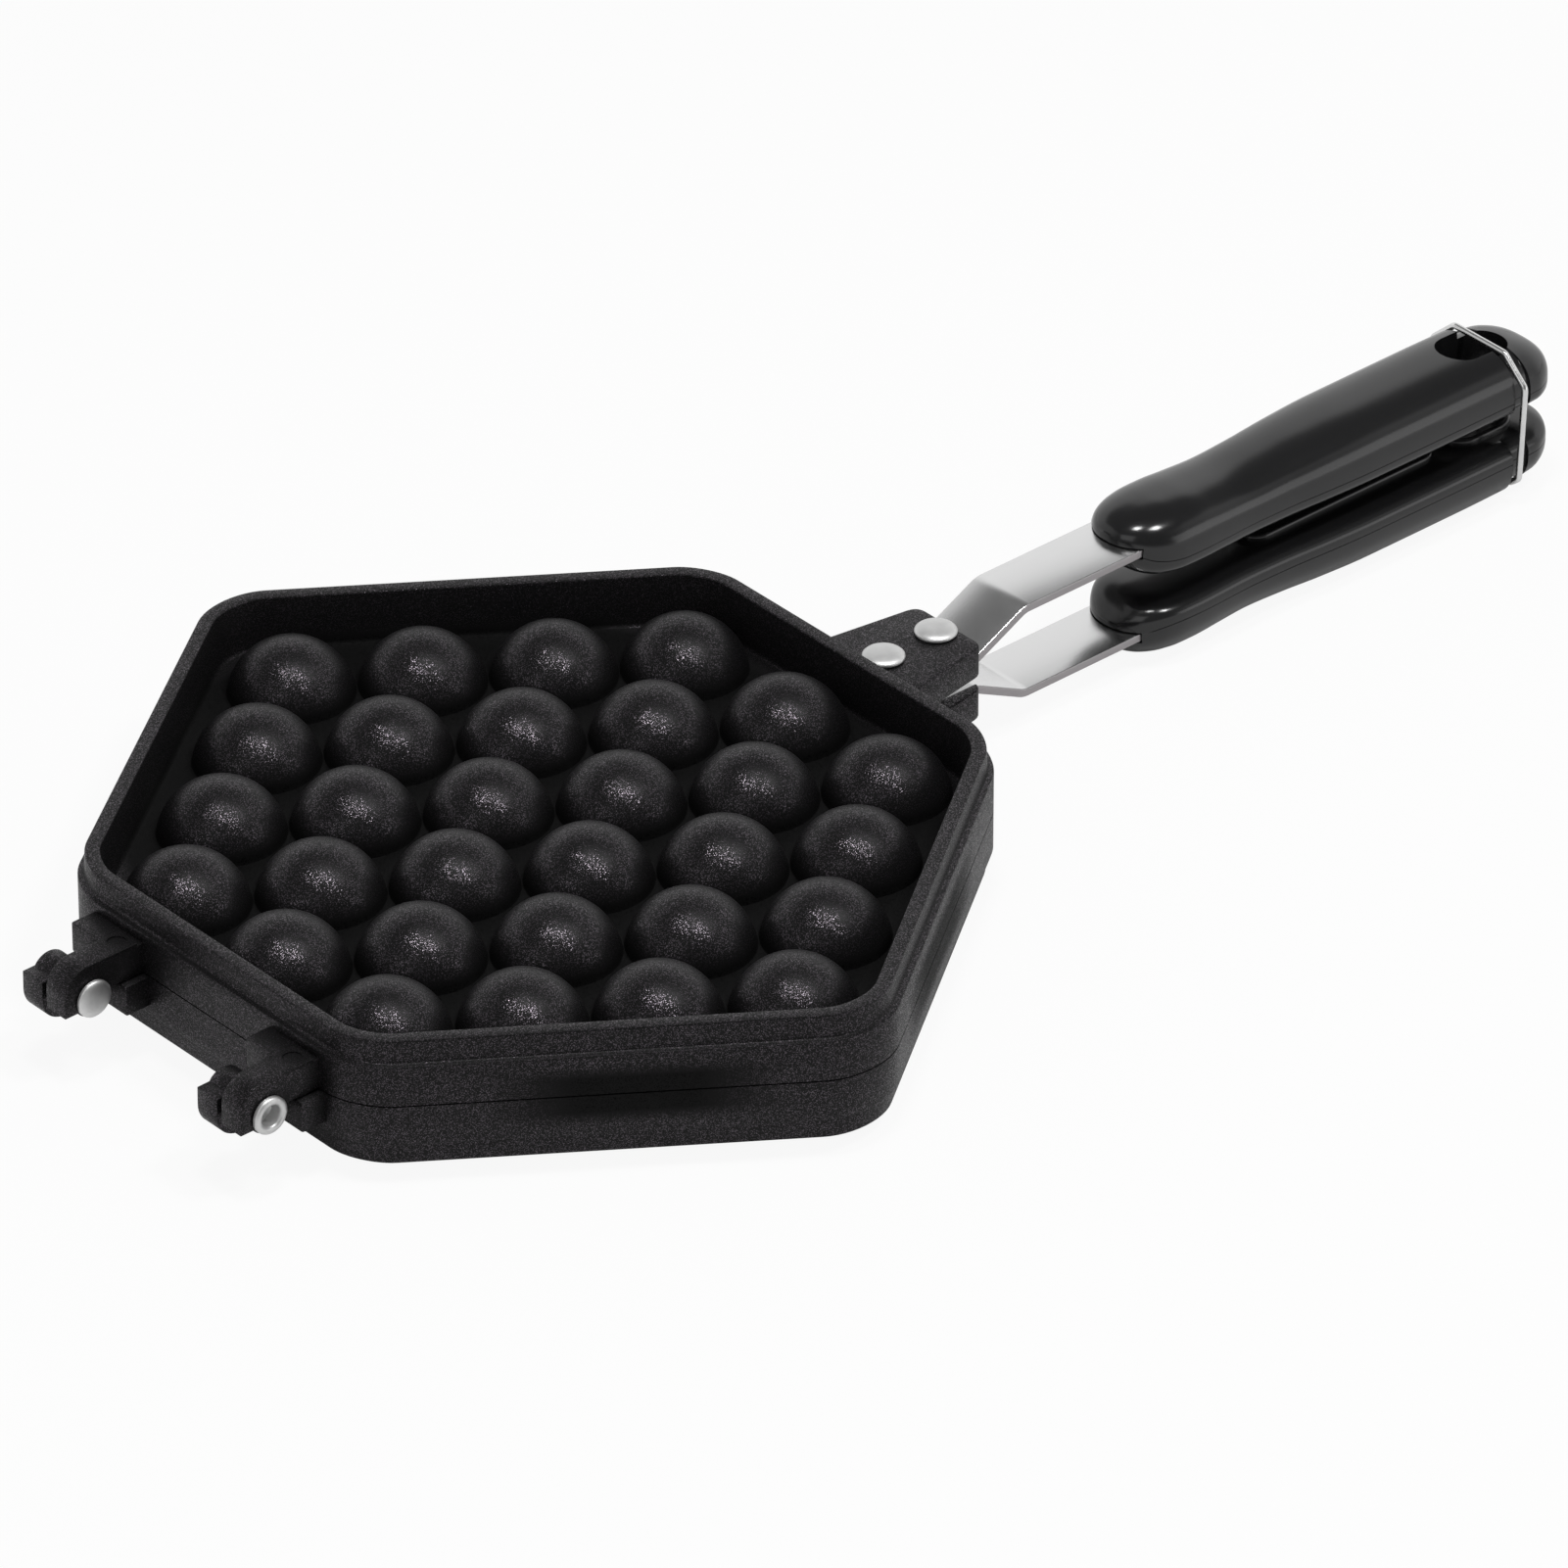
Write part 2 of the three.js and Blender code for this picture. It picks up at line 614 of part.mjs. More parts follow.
function halfOfPan(name, carriesBail) {
  const half = new THREE.Group();
  half.add(piece(`${name}_plate`, plate, casting));
  half.add(piece(`${name}_strap`, strapShape, steel));
  half.add(piece(`${name}_grip`, gripGeometry(carriesBail), phenolic));
  rivetPlaces.forEach((x, i) => {
    half.add(piece(`${name}_strap_rivet_${i + 1}`, rivetShape, rivetMetal, x));
  });
  return half;
}

const upper = halfOfPan('upper', false);
const lower = halfOfPan('lower', true);
lower.rotation.x = Math.PI;

const group = new THREE.Group();
group.add(upper, lower);
group.add(piece('hinge_pin_far', pinShape, rivetMetal, -pinX, hinge.spread));
group.add(piece('hinge_pin_near', pinShape, rivetMetal, -pinX, -hinge.spread, Math.PI));
group.add(piece('wire_bail', bailGeometry(), wire));

// Origin: middle of the pan's length and width, at its lowest point
const hingeEnd = pinX + hinge.reach;
group.position.set((hingeEnd - gripEnd) / 2, 0, grip.seam + grip.rise);

export default group;
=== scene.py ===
"""Egg waffle pan: the casting, straps, rivets, hinge pins, grips and wire bail, modelled in metres.

Each piece is made for the upper half, with x = y = 0 at the middle of the plates and z = 0 at the
parting plane, then set in the row's frame. The lower half is a copy turned over about X.
"""
import math

import bmesh
import bpy
from mathutils import Matrix, Vector


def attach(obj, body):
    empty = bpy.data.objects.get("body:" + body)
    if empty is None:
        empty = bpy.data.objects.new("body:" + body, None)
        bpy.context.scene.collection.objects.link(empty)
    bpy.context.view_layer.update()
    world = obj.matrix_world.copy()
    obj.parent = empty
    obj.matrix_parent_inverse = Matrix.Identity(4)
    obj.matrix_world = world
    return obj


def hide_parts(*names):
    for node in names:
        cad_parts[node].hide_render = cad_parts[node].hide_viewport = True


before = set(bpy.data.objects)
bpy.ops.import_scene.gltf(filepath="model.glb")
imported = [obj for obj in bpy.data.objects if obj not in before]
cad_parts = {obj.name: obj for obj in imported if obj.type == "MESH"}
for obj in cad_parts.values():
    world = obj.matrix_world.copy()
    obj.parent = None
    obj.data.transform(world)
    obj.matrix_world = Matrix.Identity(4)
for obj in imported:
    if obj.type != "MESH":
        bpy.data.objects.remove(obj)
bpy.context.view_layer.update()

MM = 0.001
PLATE_MIDDLE = Vector((-82.5, 0, 17.2)) * MM   # middle of the plates, in the row's frame
PARTING_GAP = 0.15
UP, DOWN = 1, -1


# Modelling by hand

def clear_bench():
    if bpy.context.object and bpy.context.object.mode != "OBJECT":
        bpy.ops.object.mode_set(mode="OBJECT")
    bpy.ops.object.select_all(action="DESELECT")


def only(*pieces):
    clear_bench()
    for piece in pieces:
        piece.select_set(True)
    bpy.context.view_layer.objects.active = pieces[0]


def pick(piece, kind, test):
    """Into edit mode with just the points, edges or faces that the test accepts."""
    if bpy.context.object is not piece or piece.mode != "EDIT":
        only(piece)
        bpy.ops.object.mode_set(mode="EDIT")
    bpy.ops.mesh.select_mode(type=kind)
    bpy.ops.mesh.select_all(action="DESELECT")
    mesh = bmesh.from_edit_mesh(piece.data)
    chosen = {"VERT": mesh.verts, "EDGE": mesh.edges, "FACE": mesh.faces}[kind]
    for element in chosen:
        if test(element):
            element.select_set(True)
    mesh.select_flush(True)
    bmesh.update_edit_mesh(piece.data)


def near(a, b, slack=0.02):
    return abs(a - b) < slack * MM


def named(name):
    piece = bpy.context.object
    piece.name = piece.data.name = name
    bpy.ops.object.transform_apply(location=True, rotation=True, scale=True)
    return piece


def block(name, x0, x1, y0, y1, z0, z1):
    clear_bench()
    middle = ((x0 + x1) / 2 * MM, (y0 + y1) / 2 * MM, (z0 + z1) / 2 * MM)
    bpy.ops.mesh.primitive_cube_add(size=1, location=middle)
    bpy.context.object.scale = ((x1 - x0) * MM, (y1 - y0) * MM, (z1 - z0) * MM)
    return named(name)


def cylinder(name, radius, depth, middle, axis="Z", sides=64):
    clear_bench()
    turn = {"Z": (0, 0, 0), "Y": (math.pi / 2, 0, 0)}[axis]
    bpy.ops.mesh.primitive_cylinder_add(vertices=sides, radius=radius * MM, depth=depth * MM,
                                        location=Vector(middle) * MM, rotation=turn)
    return named(name)


def modified(piece, kind, **settings):
    only(piece)
    modifier = piece.modifiers.new(kind.title(), kind)
    for key, value in settings.items():
        setattr(modifier, key, value)
    bpy.ops.object.modifier_apply(modifier=modifier.name)


def softened(piece, width, segments=3, angle=30):
    modified(piece, "BEVEL", width=width * MM, segments=segments, limit_method="ANGLE",
             angle_limit=math.radians(angle))


def combined(piece, tool, operation):
    modified(piece, "BOOLEAN", object=tool, operation=operation, solver="EXACT")
    bpy.data.objects.remove(tool)


def duplicate(piece, name):
    twin = piece.copy()
    twin.data = piece.data.copy()
    twin.name = twin.data.name = name
    bpy.context.scene.collection.objects.link(twin)
    return twin


def joined(pieces):
    only(*pieces)
    bpy.ops.object.join()
    return bpy.context.object


def inset(*steps):
    """Successive insets of the picked face: (how far in, how far along the face's normal), in mm."""
    for thickness, depth in steps:
        bpy.ops.mesh.inset(thickness=thickness * MM, depth=depth * MM, use_even_offset=True)


def extrude(x=0, y=0, z=0):
    bpy.ops.mesh.extrude_region_move(TRANSFORM_OT_translate={"value": (x * MM, y * MM, z * MM)})


def stretch(centre, x=1, y=1, z=1):
    bpy.ops.transform.resize(value=(x, y, z), center_override=Vector(centre) * MM)


def drawn(name, outline, facing, start, reach):
    """A solid of any outline: a circle whose points are moved to their places, then extruded."""
    count, spread = len(outline), 1.0
    clear_bench()
    bpy.ops.mesh.primitive_circle_add(vertices=count, radius=spread, fill_type="NGON",
                                      rotation=(math.pi / 2 if facing == "Y" else 0, 0, 0))
    piece = named(name)
    for i, (a, b) in enumerate(outline):
        turn = 2 * math.pi * i / count
        first = (-spread * math.sin(turn), spread * math.cos(turn))
        source = Vector((first[0], 0, first[1]) if facing == "Y" else (first[0], first[1], 0))
        target = Vector((a, start, b) if facing == "Y" else (a, b, start)) * MM
        pick(piece, "VERT", lambda v: (v.co - source).length < 0.002)
        bpy.ops.transform.translate(value=target - source)
    pick(piece, "FACE", lambda f: True)
    extrude(**{facing.lower(): reach})
    outward(piece)
    return piece


def arc(centre, radius, first, last, steps):
    """Points round a corner, from one angle in degrees to another."""
    for i in range(steps + 1):
        turn = math.radians(first + (last - first) * i / steps)
        yield (centre[0] + radius * math.cos(turn), centre[1] + radius * math.sin(turn))


def stadium(name, x0, x1, half_width, low, high, steps=28):
    """An upright block with round ends."""
    outline = [*arc((x1 - half_width, 0), half_width, -90, 90, steps),
               *arc((x0 + half_width, 0), half_width, 90, 270, steps)]
    return drawn(name, outline, "Z", low, high - low)


def smooth(piece, angle=32):
    only(piece)
    bpy.ops.object.shade_smooth_by_angle(angle=math.radians(angle))


def outward(piece):
    pick(piece, "FACE", lambda f: True)
    bpy.ops.mesh.normals_make_consistent(inside=False)
    only(piece)


# Casting

FLANGE_END, FLANGE_SLANT = 82.8, 82.48    # middle to the flange's faces
SLANT = math.radians(54.7)
FLANGE_CORNER = 16.5
FLANGE_HEIGHT = 8.5
CUP_RADIUS, CUP_CENTRE = 10.5, 1.55
COLUMN_PITCH, ROW_PITCH = 21.26, 30
CUPS_IN_COLUMN = {0: 6, 1: 5, 2: 4, 3: 3}           # by columns from the middle one
DOME_RADIUS, DOME_CENTRE = 13, 0.6
# Level and radius of each ring of a dome's foot, from the dome down
FOOT = ((3.1, 12.757), (2.85, 12.82), (2.65, 12.88), (2.5, 12.93), (2.38, 12.97), (1.3, 12.97))
PIN_X, EAR_SPREAD = -95.5, 26.3
EAR_ROOT, EAR_WIDTH, LUG_TOP = -84, 6, 6.85
TAB_ROOT, TAB_END, TAB_CORNER, TAB_TAPER = 80, 107.5, 2.6, 24.7
TAB_ROOT_HALF, TAB_END_HALF, TAB_BOTTOM, TAB_TOP = 14, 9.7, 1.6, 8.3
RIVET_PLACES, RIVET_HOLE = (89.7, 103.6), 2.3


def tray():
    tip = FLANGE_SLANT / math.sin(SLANT)
    shoulder = (FLANGE_SLANT - FLANGE_END * math.cos(SLANT)) / math.sin(SLANT)
    clear_bench()
    bpy.ops.mesh.primitive_circle_add(vertices=6, radius=tip * MM, fill_type="NGON",
                                      location=(0, 0, PARTING_GAP * MM))
    piece = named("casting")
    pick(piece, "VERT", lambda v: abs(v.co.x) > MM)
    stretch((0, 0, 0), x=FLANGE_END / (tip * math.cos(math.pi / 6)), y=shoulder / (tip / 2))
    for at_tip, turn in [(True, math.pi - 2 * SLANT), (False, SLANT)]:
        pick(piece, "VERT", lambda v: (abs(v.co.x) < MM) == at_tip and len(v.link_edges) == 2
             and (at_tip or near(abs(v.co.x), FLANGE_END * MM)) and
             (not at_tip or near(abs(v.co.y), tip * MM)))
        bpy.ops.mesh.bevel(offset=FLANGE_CORNER * math.tan(turn / 2) * MM, segments=12, affect="VERTICES",
                           profile=0.5, clamp_overlap=False)
    pick(piece, "FACE", lambda f: True)
    extrude(z=FLANGE_HEIGHT)
    bpy.ops.mesh.select_all(action="SELECT")
    bpy.ops.mesh.normals_make_consistent(inside=False)
    # underside: the flange's lower edge and the recess between the cups
    pick(piece, "FACE", lambda f: f.normal.z < -0.9)
    inset((0.35, 0.0))
    pick(piece, "FACE", lambda f: f.normal.z < -0.9 and len(f.verts) > 6)
    inset((5.85, 0.0), (0.25, -0.75))
    # ledge, rim and inner wall, followed up from the flange
    pick(piece, "FACE", lambda f: f.normal.z > 0.9 and len(f.verts) > 6)
    inset((0.1, 0.25), (0.25, 0.1), (0.4, 0.04), (0.3, 0.14), (0.15, 0.3), (0.06, 0.5),
          (0.19, 3.6), (0.05, 0.18), (0.12, 0.12), (0.2, 0.05),
          (2.35, 0.0), (0.2, -0.05), (0.12, -0.12), (0.05, -0.18),
          (0.5, -10.2), (0.15, -0.45), (0.3, -0.3), (0.5, -0.1))
    only(piece)
    return piece


def cup_places():
    for column in range(-3, 4):
        count = CUPS_IN_COLUMN[abs(column)]
        for row in range(count):
            yield column * COLUMN_PITCH, (row - (count - 1) / 2) * ROW_PITCH


def at_each_cup(piece):
    copies = []
    for i, (x, y) in enumerate(cup_places()):
        copy = duplicate(piece, f"{piece.name}_{i}")
        copy.location = (x * MM, y * MM, 0)
        copies.append(copy)
    bpy.data.objects.remove(piece)
    together = joined(copies)
    bpy.ops.object.transform_apply(location=True, rotation=True, scale=True)
    return together


def dome():
    """Outside of a cup: a ball cut off near the floor and spread in a soft foot."""
    clear_bench()
    bpy.ops.mesh.primitive_uv_sphere_add(segments=56, ring_count=36, radius=DOME_RADIUS * MM,
                                         location=(0, 0, DOME_CENTRE * MM))
    piece = named("dome")
    level, width = FOOT[0]
    pick(piece, "FACE", lambda f: True)
    bpy.ops.mesh.bisect(plane_co=(0, 0, level * MM), plane_no=(0, 0, 1), clear_inner=True, use_fill=True)
    pick(piece, "FACE", lambda f: f.normal.z < -0.9)
    for height, spread in FOOT[1:]:
        extrude(z=height - level)
        stretch((0, 0, 0), x=spread / width, y=spread / width)
        level, width = height, spread
    only(piece)
    return at_each_cup(piece)


def hollow():
    """Space inside a cup, carried down past the parting plane."""
    clear_bench()
    bpy.ops.mesh.primitive_uv_sphere_add(segments=48, ring_count=24, radius=CUP_RADIUS * MM,
                                         location=(0, 0, CUP_CENTRE * MM))
    piece = named("hollow")
    pick(piece, "FACE", lambda f: True)
    bpy.ops.mesh.bisect(plane_co=(0, 0, CUP_CENTRE * MM), plane_no=(0, 0, 1), clear_inner=True,
                        use_fill=True)
    pick(piece, "FACE", lambda f: f.normal.z < -0.9)
    extrude(z=-1.5 - CUP_CENTRE)
    only(piece)
    return at_each_cup(piece)


def strap_tab():
    """Tapered tab with its recess for the strap and the holes for the two rivets."""
    slope = (TAB_ROOT_HALF - TAB_END_HALF) / TAB_TAPER
    corner = [(TAB_END - TAB_CORNER * (1 - t) ** 2,
               -(TAB_END_HALF - TAB_CORNER * t ** 2 + slope * TAB_CORNER * (1 - t) ** 2))
              for t in (0, 0.2, 0.4, 0.6, 0.8, 1)]
    outline = [(TAB_ROOT, -TAB_ROOT_HALF), *corner, *[(x, -y) for x, y in reversed(corner)],
               (TAB_ROOT, TAB_ROOT_HALF)]
    piece = drawn("tab", outline, "Z", TAB_BOTTOM, TAB_TOP - TAB_BOTTOM)
    # all round but at the root
    pick(piece, "EDGE", lambda e: all(v.co.z > 8 * MM for v in e.verts)
         and max(v.co.x for v in e.verts) > (TAB_ROOT + 1) * MM)
    bpy.ops.mesh.bevel(offset=0.45 * MM, segments=3, affect="EDGES")
    pick(piece, "EDGE", lambda e: all(v.co.z < 2 * MM for v in e.verts)
         and max(v.co.x for v in e.verts) > (TAB_ROOT + 1) * MM)
    bpy.ops.mesh.bevel(offset=0.3 * MM, segments=2, affect="EDGES")
    combined(piece, block("recess", 84.5, 110, -7.8, 7.8, -2, 4.4), "DIFFERENCE")
    for x in RIVET_PLACES:
        combined(piece, cylinder("rivet_hole", RIVET_HOLE, 14, (x, 0, 5), sides=40), "DIFFERENCE")
    return piece


def hinge_ear(side):
    """Knuckle ear with its square stop, and the lug that joins it to the flange."""
    middle, knuckle, underside, step = EAR_SPREAD * side, 4.2, 0.2, 2.4
    outline = [(EAR_ROOT, underside),
               *arc((PIN_X, 0), knuckle, math.degrees(math.asin(underside / knuckle)),
                    -180 + math.degrees(math.asin(step / knuckle)), 26),
               (-101.99, -step), *arc((-96.4, 1.8), 5.59, 180, 90, 14), (EAR_ROOT, 7.39)]
    ear = drawn("ear", outline, "Y", middle - 6.6, EAR_WIDTH)
    for face in (middle - 6.6, middle - 0.6):
        pick(ear, "EDGE", lambda e: all(near(v.co.y, face * MM) for v in e.verts)
             and not all(near(v.co.x, EAR_ROOT * MM) for v in e.verts))
        bpy.ops.mesh.bevel(offset=0.28 * MM, segments=2, affect="EDGES")
    combined(ear, cylinder("bore", 2.75, 12, (PIN_X, middle - 3.6, 0), axis="Y"), "DIFFERENCE")
    mark = cylinder("ejector_mark", 2.0, 0.5, (-86.8, middle - 3.6, 7.4), sides=40)
    combined(ear, mark, "DIFFERENCE")
    lug = block("lug", -88.5, -81.5, middle - 6.7, middle + 8.2, PARTING_GAP, LUG_TOP)
    softened(lug, 0.35, segments=2)
    combined(lug, ear, "UNION")
    return lug


def casting():
    piece = tray()
    combined(piece, dome(), "UNION")
    combined(piece, hollow(), "DIFFERENCE")
    for extra in (strap_tab(), hinge_ear(UP), hinge_ear(DOWN)):
        combined(piece, extra, "UNION")
    smooth(piece, 30)
    return piece


# Strip and wire

STRAP_FRONT, STRAP_REACH, STRAP_LEVEL = 84.8, 234, 3.2
STRAP_WIDTH, STRAP_THICKNESS, STRAP_BEND = 14.8, 1.8, 5
SLOPE_RUN, SLOPE_RISE = 13.4, 6.7
PIN_RADIUS, PIN_LENGTH = 2.5, 13.8
PIN_HEAD, PIN_END = 3.95, 3.05          # the end that shows and the hidden one
WIRE_X, WIRE_RADIUS, WIRE_BEND = 252.5, 0.7, 1.6
PIVOT_DROP = 13                         # from the parting plane to the wire's feet


def follow(piece, moves, start, heading, side):
    """Draws the picked end face along straight runs and circular bends about the side axis."""
    place, ahead, side = Vector(start), Vector(heading).normalized(), Vector(side)
    for kind, *sizes in moves:
        if kind == "run":
            step = ahead * sizes[0]
            extrude(*step)
            place = place + step
            continue
        turn, radius = math.radians(sizes[0]), sizes[1]
        inward = side.cross(ahead) * (1 if turn > 0 else -1)
        centre = place + inward * radius
        steps = max(3, int(abs(sizes[0]) / 6))
        bpy.ops.mesh.spin(steps=steps, angle=-turn, center=centre * MM, axis=side, dupli=False)
        rotation = Matrix.Rotation(turn, 3, side)
        place = centre + rotation @ (place - centre)
        ahead = rotation @ ahead
    return place, ahead


def strap():
    """Steel strip: flat under the tab, up a slope and level into the grip."""
    slope = math.degrees(math.atan2(SLOPE_RISE, SLOPE_RUN))
    tangent = STRAP_BEND * math.tan(math.radians(slope / 2))
    clear_bench()
    bpy.ops.mesh.primitive_plane_add(size=1, rotation=(0, math.pi / 2, 0),
                                     location=(STRAP_FRONT * MM, 0, STRAP_LEVEL * MM))
    bpy.context.object.scale = (STRAP_THICKNESS * MM, STRAP_WIDTH * MM, 1)
    piece = named("strap")
    pick(piece, "FACE", lambda f: True)
    follow(piece, [("run", TAB_END - STRAP_FRONT - tangent), ("bend", -slope, STRAP_BEND),
                   ("run", math.hypot(SLOPE_RISE, SLOPE_RUN) - 2 * tangent), ("bend", slope, STRAP_BEND),
                   ("run", STRAP_REACH - (TAB_END + SLOPE_RUN) - tangent)],
           (STRAP_FRONT, 0, STRAP_LEVEL), (1, 0, 0), (0, 1, 0))
    outward(piece)
    softened(piece, 0.28, segments=3, angle=40)
    for x in RIVET_PLACES:
        combined(piece, cylinder("hole", RIVET_HOLE, 14, (x, 0, 5), sides=40), "DIFFERENCE")
    smooth(piece, 30)
    return piece


def rivet():
    """Shank, upset tail and a low domed head."""
    piece = cylinder("rivet", 4.35, 0.25, (0, 0, 8.725), sides=72)
    pick(piece, "FACE", lambda f: f.normal.z > 0.9)
    inset((0.06, 0.16), (0.24, 0.24), (0.35, 0.2), (0.5, 0.16), (0.6, 0.12), (0.6, 0.08), (0.55, 0.04),
          (0.45, 0.02), (0.4, 0.0))
    pick(piece, "FACE", lambda f: f.normal.z < -0.9 and len(f.verts) > 6)
    inset((2.35, 0.0))
    for drop, width in ((6.1, 1.0), (0.0, 1.58), (0.25, 1.06), (0.6, 1.0), (0.12, 0.92)):
        extrude(z=-drop)
        stretch((0, 0, 0), x=width, y=width)
    outward(piece)
    smooth(piece, 35)
    return piece


def hinge_pin(head, tail):
    """Pin along Y: a domed head of one radius, and a rolled, hollow tail of another."""
    piece = cylinder("pin", PIN_RADIUS, PIN_LENGTH, (0, 0, 0), axis="Y", sides=64)
    pick(piece, "FACE", lambda f: f.normal.y < -0.9)
    extrude(y=0)
    stretch((0, 0, 0), x=head / PIN_RADIUS, z=head / PIN_RADIUS)
    extrude(y=-0.5)
    flare = head / PIN_HEAD
    inset(*[(flare * across, flare * up) for across, up in (
        (0.06, 0.14), (0.2, 0.2), (0.35, 0.22), (0.55, 0.2), (0.8, 0.14), (0.9, 0.07), (0.6, 0.02))])
    pick(piece, "FACE", lambda f: f.normal.y > 0.9 and len(f.verts) > 6)
    extrude(y=0)
    stretch((0, 0, 0), x=tail / PIN_RADIUS, z=tail / PIN_RADIUS)
    extrude(y=0.6 if tail == PIN_HEAD else 0.3)
    inset((0.1, 0.22), (0.22, 0.2), (0.3, 0.12), (0.35, 0.02), (0.3, -0.1), (0.25, -0.22), (0.15, -0.4),
          (0.05, -2.4), (0.5, -0.3))
    outward(piece)
    smooth(piece, 35)
    return piece


def bail():
    """Spring wire from foot to foot over the top of the upper grip."""
    half = [(5.5, -PIVOT_DROP), (10.1, -PIVOT_DROP), (12.6, -11), (13.5, 10.9), (7.35, 16.5)]
    points = [Vector((0, -y, z)) for y, z in half] + [Vector((0, y, z)) for y, z in reversed(half)]
    clear_bench()
    bpy.ops.mesh.primitive_circle_add(vertices=20, radius=WIRE_RADIUS * MM, fill_type="NGON",
                                      rotation=(math.pi / 2, 0, 0),
                                      location=(WIRE_X * MM, points[0].y * MM, points[0].z * MM))
    piece = named("bail")
    pick(piece, "FACE", lambda f: True)
    moves, spare = [], 0
    for before, corner, after in zip(points, points[1:], points[2:]):
        into, out = corner - before, after - corner
        turn = math.degrees(math.atan2(into.y * out.z - into.z * out.y, into.dot(out)))
        back = WIRE_BEND * math.tan(abs(math.radians(turn)) / 2)
        moves += [("run", into.length - spare - back), ("bend", turn, WIRE_BEND)]
        spare = back
    moves.append(("run", (points[-1] - points[-2]).length - spare))
    follow(piece, moves, (WIRE_X, points[0].y, points[0].z), (points[1] - points[0]), (1, 0, 0))
    outward(piece)
    smooth(piece, 40)
    return piece


# Grip

GRIP_FRONT, GROOVE_FRONT, CAP_FRONT = 149.0, 251.1, 256.0
BODY_REACH, CAP_REACH = 102.1, 10.99
SEAM, HALF_WIDTH, RISE, LIP = 7.3, 12.3, 9.9, 4.1
CROWN_SQUARENESS, LIP_SQUARENESS = 2.6, 3.5
GROOVE_WIDTH, GROOVE_RISE = 0.902, 0.798
BOSS_LOW, BOSS_HIGH = 1.71, 6.9
# From and to along the grip, and half the width
BOSS, COLLAR, HANG_HOLE = (185, 238, 5), (240.7, 259.5, 6.2), (241.7, 258.5, 5.2)
# Rows: share of the length, then the width, rise, lip and lift of the section as shares of its full size
BODY = [
    [0, 0.122, 0.121, 0.67, 0.434], [0.003, 0.244, 0.172, 0.89, 0.394], [0.01, 0.382, 0.323, 0.94, 0.333],
    [0.02, 0.512, 0.465, 1.06, 0.263], [0.034, 0.642, 0.626, 1.11, 0.172], [0.054, 0.764, 0.768, 1.11, 0.091],
    [0.083, 0.862, 0.879, 1.06, 0.03], [0.122, 0.919, 0.934, 1, 0], [0.167, 0.927, 0.929, 1, 0],
    [0.225, 0.911, 0.889, 1, 0], [0.304, 0.886, 0.854, 1, 0], [0.402, 0.902, 0.899, 1, 0],
    [0.5, 0.951, 0.96, 1, 0], [0.627, 0.992, 1, 1, 0], [0.891, 1, 1, 1, 0], [1, 1, 0.98, 1, 0]]
CAP = [
    [0, 0.95, 0.825, 1, 0], [0.25, 0.935, 0.775, 1, 0], [0.45, 0.87, 0.715, 1, 0],
    [0.65, 0.755, 0.625, 1, 0], [0.82, 0.58, 0.49, 0.9, 0], [0.94, 0.37, 0.32, 0.75, 0],
    [1, 0.18, 0.16, 0.5, 0]]


def eased(table, along):
    """A smooth curve through the table's rows, with no bulge between them."""
    last = len(table) - 1
    for i in range(last):
        if along <= table[i + 1][0] or i == last - 1:
            break
    a, b = table[i], table[i + 1]
    before, after = table[max(i - 1, 0)], table[min(i + 2, last)]
    gap = b[0] - a[0]
    t = (along - a[0]) / gap
    found = []
    for k in range(1, 5):
        middle = (b[k] - a[k]) / gap
        left = (a[k] - before[k]) / (a[0] - before[0]) if a[0] > before[0] else middle
        right = (after[k] - b[k]) / (after[0] - b[0]) if after[0] > b[0] else middle
        start = 0 if left * middle <= 0 else 2 * left * middle / (left + middle)
        end = 0 if right * middle <= 0 else 2 * right * middle / (right + middle)
        found.append((2 * t ** 3 - 3 * t ** 2 + 1) * a[k] + (t ** 3 - 2 * t ** 2 + t) * gap * start
                     + (3 * t ** 2 - 2 * t ** 3) * b[k] + (t ** 3 - t ** 2) * gap * end)
    return found


def grip_stations():
    """Sections from the nose to the cap's end, close together where the shape turns fast."""
    steps, dense, cap_steps = 56, 39, 18
    first = (dense / steps) ** 2.2
    for step in range(steps + 1):
        share = (step / steps) ** 2.2
        if step > dense:
            share = first + (1 - first) * (step - dense) / (steps - dense)
        yield (GRIP_FRONT + share * BODY_REACH, *eased(BODY, share))
    for x in (GROOVE_FRONT + 0.15, CAP_FRONT - 0.15):
        yield (x, GROOVE_WIDTH, GROOVE_RISE, 1, 0)
    for step in range(cap_steps + 1):
        share = 1 - (1 - step / cap_steps) ** 1.6
        yield (CAP_FRONT + share * CAP_REACH, *eased(CAP, share))


